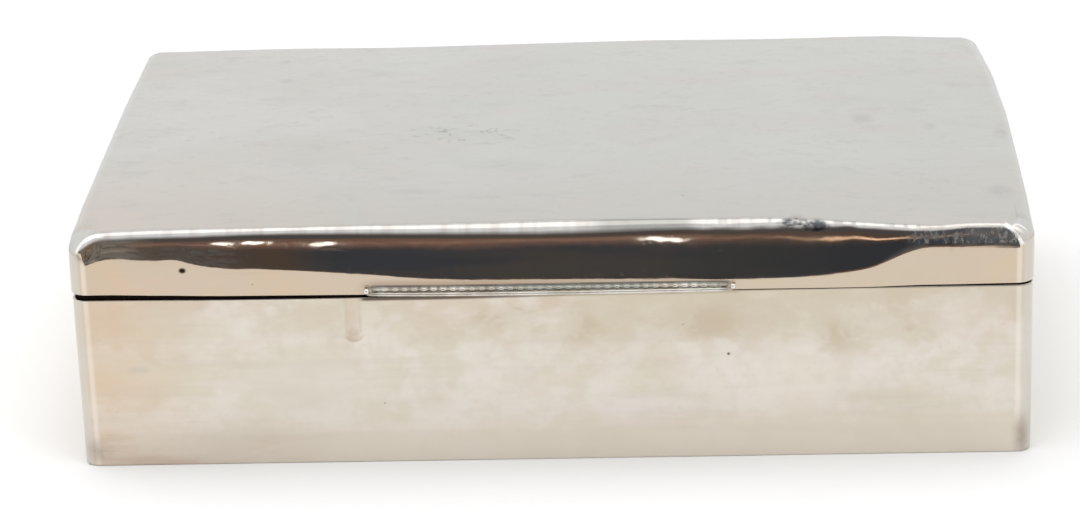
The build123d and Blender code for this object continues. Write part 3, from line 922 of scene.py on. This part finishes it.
def end_balls():
    """The small ball that closes each end of the thumb piece."""
    middle = Vector((0, (BALL_LOW.y + BALL_HIGH.y) / 2 - 0.2, LID_RIM + 1.6))
    verts, faces = [], []
    for x in (BALL_LOW.x + BALL_R + 0.35, BALL_HIGH.x - BALL_R - 0.35):
        turn = [math.radians(a) for a in range(5, 176, 10)]
        profile = [(-BALL_R * math.cos(a), BALL_R * math.sin(a)) for a in turn]
        more, quads = lathe(profile, 18, Vector((x, middle.y, middle.z)))
        faces += [[i + len(verts) for i in face] for face in quads]
        verts += [lid_form(v) for v in more]
    piece("thumb_end_balls", verts, faces, BALL_SILVER, "lid", "thumb_piece_end_balls")


thumb_rail()
thumb_beading()
end_balls()

# ---------------------------------------------------------------- boards, hinge and plates


def dress(material, *names):
    """Give CAD nodes their finish."""
    for name in names:
        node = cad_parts[name]
        if not node.material_slots:
            node.data.materials.append(material)
        for slot in node.material_slots:
            slot.material = material


dress(CEDAR_X, "lining_floor", "lining_front", "lining_back")
dress(CEDAR_Y, "lining_left", "lining_right")
dress(HINGE_SILVER, "hinge_bearer_body", "hinge_bearer_lid", "hinge_knuckles_body", "hinge_knuckles_lid",
      "base_plate")
dress(PIN_SILVER, "hinge_pin")

for side, grain in (("front", CEDAR_X), ("back", CEDAR_X), ("left", CEDAR_Y), ("right", CEDAR_Y)):
    bent_board(f"lid_edging_{side}", f"lid_frame_{side}", grain)
bent_board("lid_ceiling", "lid_board", CEDAR_X)

# ---------------------------------------------------------------- cloth: baize, panels, pad and racks

FELT_WAVE = 0.05
PANEL_WAVE = 0.10
SEAM_IN = 9.0  # mm in from the pad's edge, where the flannel is stitched down
PUFF_ROOM = 1.6  # mm left under the pad for it to swell into


def felt_wave(at, normal):
    """The baize keeps flat where it rests, and is a little uneven at its edges."""
    return 0.0 if abs(normal.z) > 0.5 else FELT_WAVE * (ripple(at, 7, 4.2) - 1)


def panel_wave(at, normal):
    """Flannel over card: slack by a fraction of a millimetre."""
    return PANEL_WAVE * (0.7 * ripple(at, 26, 6.1) + 0.3 * ripple(at, 8, 2.2) - 0.9)


def covered(name, node, material, radius, step, wave):
    """A sheet of cloth in the place of a node, stretched over what it rests on."""
    low, high = box_mm(node)
    verts, faces = soft_slab(low, high, radius, step, wave)
    made = piece(name, verts, faces, material, "case", node)


covered("baize", "base_felt", BAIZE, 0.5, 6.0, felt_wave)
for side in ("floor", "front", "back", "left", "right"):
    radius, step = (0.6, 4.0) if side == "floor" else (0.5, 3.5)
    covered(f"{side}_flannel", f"well_panel_{side}", FLANNEL, radius, step, panel_wave)


def puffed(verts, faces, held, pressure, frames, cap):
    """The points of a closed cloth after a short blow-up, none moved further than cap mm."""
    mesh = bpy.data.meshes.new("puffed")
    mesh.from_pydata([Vector(v) * MM for v in verts], [], faces)
    obj = placed("puffed", mesh)
    scene = bpy.context.scene
    group = obj.vertex_groups.new(name="held")
    group.add(held, 1.0, "REPLACE")
    cloth = obj.modifiers.new("cloth", "CLOTH")
    cloth.settings.vertex_group_mass = "held"
    cloth.settings.use_pressure = True
    cloth.settings.uniform_pressure_force = pressure
    cloth.settings.effector_weights.gravity = 0
    cloth.settings.quality = 4
    cloth.collision_settings.use_collision = False
    cloth.point_cache.frame_start, cloth.point_cache.frame_end = 1, frames
    for number in range(1, frames + 1):
        scene.frame_set(number)
    moved = obj.evaluated_get(bpy.context.evaluated_depsgraph_get()).to_mesh()
    after = [v.co / MM for v in moved.vertices]
    scene.frame_set(1)
    bpy.data.objects.remove(obj)
    kept = []
    for old, new in zip(verts, after):
        step = new - Vector(old)
        kept.append(Vector(old) + step * min(1.0, cap / max(step.length, 1e-9)))
    return kept


def lid_pad():
    """Wadding under flannel on the lid's board, held at its seams and blown up between them."""
    low, high = box_mm("lid_pad")
    start = Vector((low.x + 0.4, low.y + 0.4, low.z + PUFF_ROOM))
    end = Vector((high.x - 0.4, high.y - 0.4, high.z - 0.1))
    verts, faces = soft_slab(start, end, 1.0, 4.5, lambda at, normal: 0.0)
    top = [i for i, v in enumerate(verts) if v.z > end.z - 0.5]
    verts = puffed(verts, faces, held=top, pressure=4.0, frames=20, cap=PUFF_ROOM - 0.2)
    shaped = []
    for v in verts:
        v = Vector(v)
        edge = min(v.x - low.x, high.x - v.x, v.y - low.y, high.y - v.y)
        stitched = math.exp(-(((edge - SEAM_IN) / 1.6) ** 2))
        under = smooth(start.z + 1.0, low.z, v.z)
        v.z += under * (0.9 * stitched + 0.10 * ripple(v, 12, 3.3))
        v.z = max(v.z, low.z + 0.05)
        shaped.append(lid_form(v))
    piece("lid_cushion", shaped, faces, FLANNEL, "lid", "lid_pad")


RACK_GRAIN = 1.3  # how finely a rack is built up again, in mm
RACK_FOOT = 1.5  # below this height its cloth is glued flat


def rack(side):
    """A notched rail under flannel: edges rounded by the wadding, cloth drawn into the notches."""
    node = f"rack_{side}"
    low, high = box_mm(node)
    start = placed("start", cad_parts[node].data.copy())
    remesh = start.modifiers.new("remesh", "REMESH")
    remesh.mode, remesh.voxel_size = "VOXEL", RACK_GRAIN * MM
    ease = start.modifiers.new("ease", "SMOOTH")
    ease.factor, ease.iterations = 0.5, 5
    grown = start.evaluated_get(bpy.context.evaluated_depsgraph_get()).to_mesh()
    verts = []
    for v in grown.vertices:
        at, normal = v.co / MM, v.normal
        slack = 0.16 * ripple(at, 6, 7.7) + 0.10 * ripple(at, 17, 1.9) + 0.05
        if at.z > low.z + RACK_FOOT:
            at = at + normal * slack
        verts.append(Vector([max(low[a], min(high[a], at[a])) for a in range(3)]))
    faces = [tuple(p.vertices) for p in grown.polygons]
    bpy.data.objects.remove(start)
    piece(f"covered_rack_{side}", verts, faces, FLANNEL, "case", node)


lid_pad()
rack("left")
rack("right")

# ---------------------------------------------------------------- the studio and the camera


def stage_mesh(name, verts, material):
    """A flat card or floor that isn't part of the object."""
    mesh = bpy.data.meshes.new(name)
    mesh.from_pydata(verts, [], [list(range(len(verts)))])
    mesh.materials.append(material)
    obj = placed(name, mesh)
    return obj


def oblong(x0, y0, x1, y1, z):
    """The corners of a level card."""
    return [(x0, y0, z), (x1, y0, z), (x1, y1, z), (x0, y1, z)]


def only_mirrored(obj):
    """Seen in reflections, and nowhere else."""
    for ray in ("camera", "diffuse", "shadow", "transmission"):
        setattr(obj, f"visible_{ray}", False)


def white_room():
    """A world that lights the chest plainly, and is white to camera, glossy and transmission rays."""
    world = bpy.context.scene.world = bpy.data.worlds.new("studio")
    nodes = Nodes(world)
    nodes.feed("Background", Color=(0.97, 0.985, 1.0), Strength=0.72)
    seen, *others = (nodes.field("ShaderNodeLightPath", f"Is {kind} Ray", {})
                     for kind in ("Camera", "Glossy", "Transmission"))
    for ray in others:
        seen |= ray
    lit = nodes.tree.nodes["Background"].outputs["Background"]
    white = nodes.field("ShaderNodeBackground", "Background", {"Color": (1.0, 1.0, 1.0), "Strength": 1.0})
    both = nodes.field("ShaderNodeMixShader", "Shader", {0: seen, 1: Field(nodes, lit), 2: white})
    nodes.feed("World Output", Surface=both)


white_room()

FLOOR_HALF = 6.0
stage_mesh("floor", oblong(-FLOOR_HALF, -FLOOR_HALF, FLOOR_HALF, FLOOR_HALF, 0),
           Look("pale_floor").surface(Base_Color=(0.90, 0.895, 0.885), Roughness=0.9))

CARD_AWAY = 0.30
CARD_LIFT = 0.0005  # off the floor
CARD_OUTLINE = ((-0.19, 0.0), (0.26, 0.0), (0.205, 0.07), (0.189, 0.115), (0.225, 0.19), (0.42, 0.53),
                (-1.15, 0.53), (-1.02, 0.32), (-0.66, 0.15), (-0.30, 0.056))  # x, z in metres
CARD_TOP = 0.19
CARD_FADE = 0.34  # above its top it fades to the white of the room
CARD_LINE = 81  # height of the thin warm line, in mm
CARD_LINE_RISE = 0.007  # and how far it climbs at its right, in metres
# Bright spots on the card, which the lid's front mirrors as glints.
CARD_SPOTS = ((-121.6, 85.5, 5.2, 5.0), (-109, 85.2, 5.6, 4.6), (-84, 80.2, 5.6, 5.0),
              (28, 79.0, 11, 4.4))  # mm: x, z, half sizes


def dark_card():
    """A low dark screen before the front, seen only as its reflection in the lid's front."""
    look = Look("dark_card")
    x = look.x
    z = look.z - x.rise(70, 92, CARD_LINE_RISE)
    cloud = look.noise(9, 4.0, 0.6, (1.0, 1.0, 2.0))
    lower = coats(
        cloud.over(0.4, 0.65).mix((0.060, 0.076, 0.108), (0.085, 0.092, 0.105)),
        (x.rise(0, 100), (0.050, 0.062, 0.085)),
        (x.fall(-105, -80, 0.75), (0.125, 0.098, 0.082)),
    )
    upper = cloud.over(0.35, 0.6).mix((0.090, 0.105, 0.135), (0.125, 0.115, 0.115))
    brown = x.rise(20, 90).mix((0.235, 0.168, 0.160), (0.130, 0.100, 0.088))
    line = z.rise(CARD_LINE - 4, CARD_LINE - 1) * z.fall(CARD_LINE + 1, CARD_LINE + 4) * x.fall(120, 132)
    line *= look.noise(90, 3.0, 0.6, (1, 0, 0)).over(0.35, 0.6, 0.9, 0.35)
    flow = look.noise(130, 4.0, 0.7, (1.0, 0.0, 0.42), 0.9)
    mottle = coats(
        flow.over(0.36, 0.50).mix((0.087, 0.100, 0.114), (0.278, 0.300, 0.330)),
        (flow.over(0.52, 0.66), (0.50, 0.53, 0.56)),
        (x.fall(-230, -180, 0.8), flow.over(0.36, 0.60).mix((0.070, 0.055, 0.045), (0.36, 0.30, 0.26))),
    )
    grain = look.noise(330, 3.0, 0.65, (1.0, 0.0, 0.3)).over(0.38, 0.62)
    grain *= x.fall(-128, -108) * z.fall(66, 80) * x.rise(-172, -142)
    shade = coats(
        z.rise(CARD_LINE - 16, CARD_LINE).mix(lower, brown),
        (z.rise(CARD_LINE + 2, CARD_LINE + 30), upper),
        (line, x.rise(62, 78).mix((0.36, 0.26, 0.22), (1.75, 1.35, 1.10))),
        (z.fall(2, 6), (0.20, 0.13, 0.10)),
        (x.fall(-172, -142, 0.9) | x.rise(112, 124, 0.32), mottle),
        (grain, (0.165, 0.175, 0.200)),
    )
    for at, height, half_width, half_height in CARD_SPOTS:
        spot = look.spot((at, 0, height), 1.0, 0.45, (1 / half_width, 0, 1 / half_height))
        shade = spot.mix(shade, (2.5, 2.7, 3.0))
    limits = {"Value": z, "From Min": CARD_TOP, "From Max": CARD_TOP + CARD_FADE}
    fade = look.field("ShaderNodeMapRange", "Result", limits)
    corners = [(x, FRONT * MM - CARD_AWAY, z + CARD_LIFT) for x, z in CARD_OUTLINE]
    only_mirrored(stage_mesh("dark_card", corners, look.glow(fade.mix(shade, (1.0, 1.0, 1.0)))))


dark_card()
CEILING = (-1.6, -0.33, 1.6, 0.52, 1.4)  # x and y of two corners, and z
# Light, behind and above, for the bright line along the lid's front edge.
ceiling_light = Look("bright_ceiling").glow((1.0, 0.985, 0.96), 1.75)
only_mirrored(stage_mesh("bright_ceiling", oblong(*CEILING), ceiling_light))


def soft_lamp(name, at, size, power):
    """A square area lamp that looks at the chest and isn't mirrored in it."""
    data = bpy.data.lights.new(name, "AREA")
    data.shape = "RECTANGLE"
    data.size = data.size_y = size
    data.energy = power
    lamp = placed(name, data)
    lamp.location = at
    lamp.rotation_euler = (Vector((0, 0, 0.03)) - Vector(at)).to_track_quat("-Z", "Y").to_euler()
    lamp.visible_glossy = False


soft_lamp("overhead", (-0.2, -0.1, 1.3), 1.6, 13.0)
soft_lamp("fill", (1.1, -1.0, 0.8), 0.7, 3.0)

# The camera stands where the photograph was taken from: worked out from the chest's outline.
CAMERA_AT = (0.0397, -0.9691, 0.4020)
CAMERA_TURN, CAMERA_DOWN, CAMERA_ROLL = (math.radians(a) for a in (-2.70, 21.0, -2.02))
CAMERA_LENS = 118.42
CAMERA_SENSOR = 36.0


def camera():
    data = bpy.data.cameras.new("camera")
    data.sensor_width = CAMERA_SENSOR
    data.lens = CAMERA_LENS
    data.clip_start, data.clip_end = 0.05, 50.0
    obj = placed("camera", data)
    turn, down, roll = CAMERA_TURN, CAMERA_DOWN, CAMERA_ROLL
    ahead = Vector((math.sin(turn) * math.cos(down), math.cos(turn) * math.cos(down), -math.sin(down)))
    right = Vector((math.cos(turn), -math.sin(turn), 0))
    up = right.cross(ahead)
    right, up = math.cos(roll) * right + math.sin(roll) * up, math.cos(roll) * up - math.sin(roll) * right
    obj.matrix_world = Matrix.Translation(CAMERA_AT) @ Matrix((right, up, -ahead)).transposed().to_4x4()
    bpy.context.scene.camera = obj


camera()
bpy.context.scene.view_settings.view_transform = "Standard"
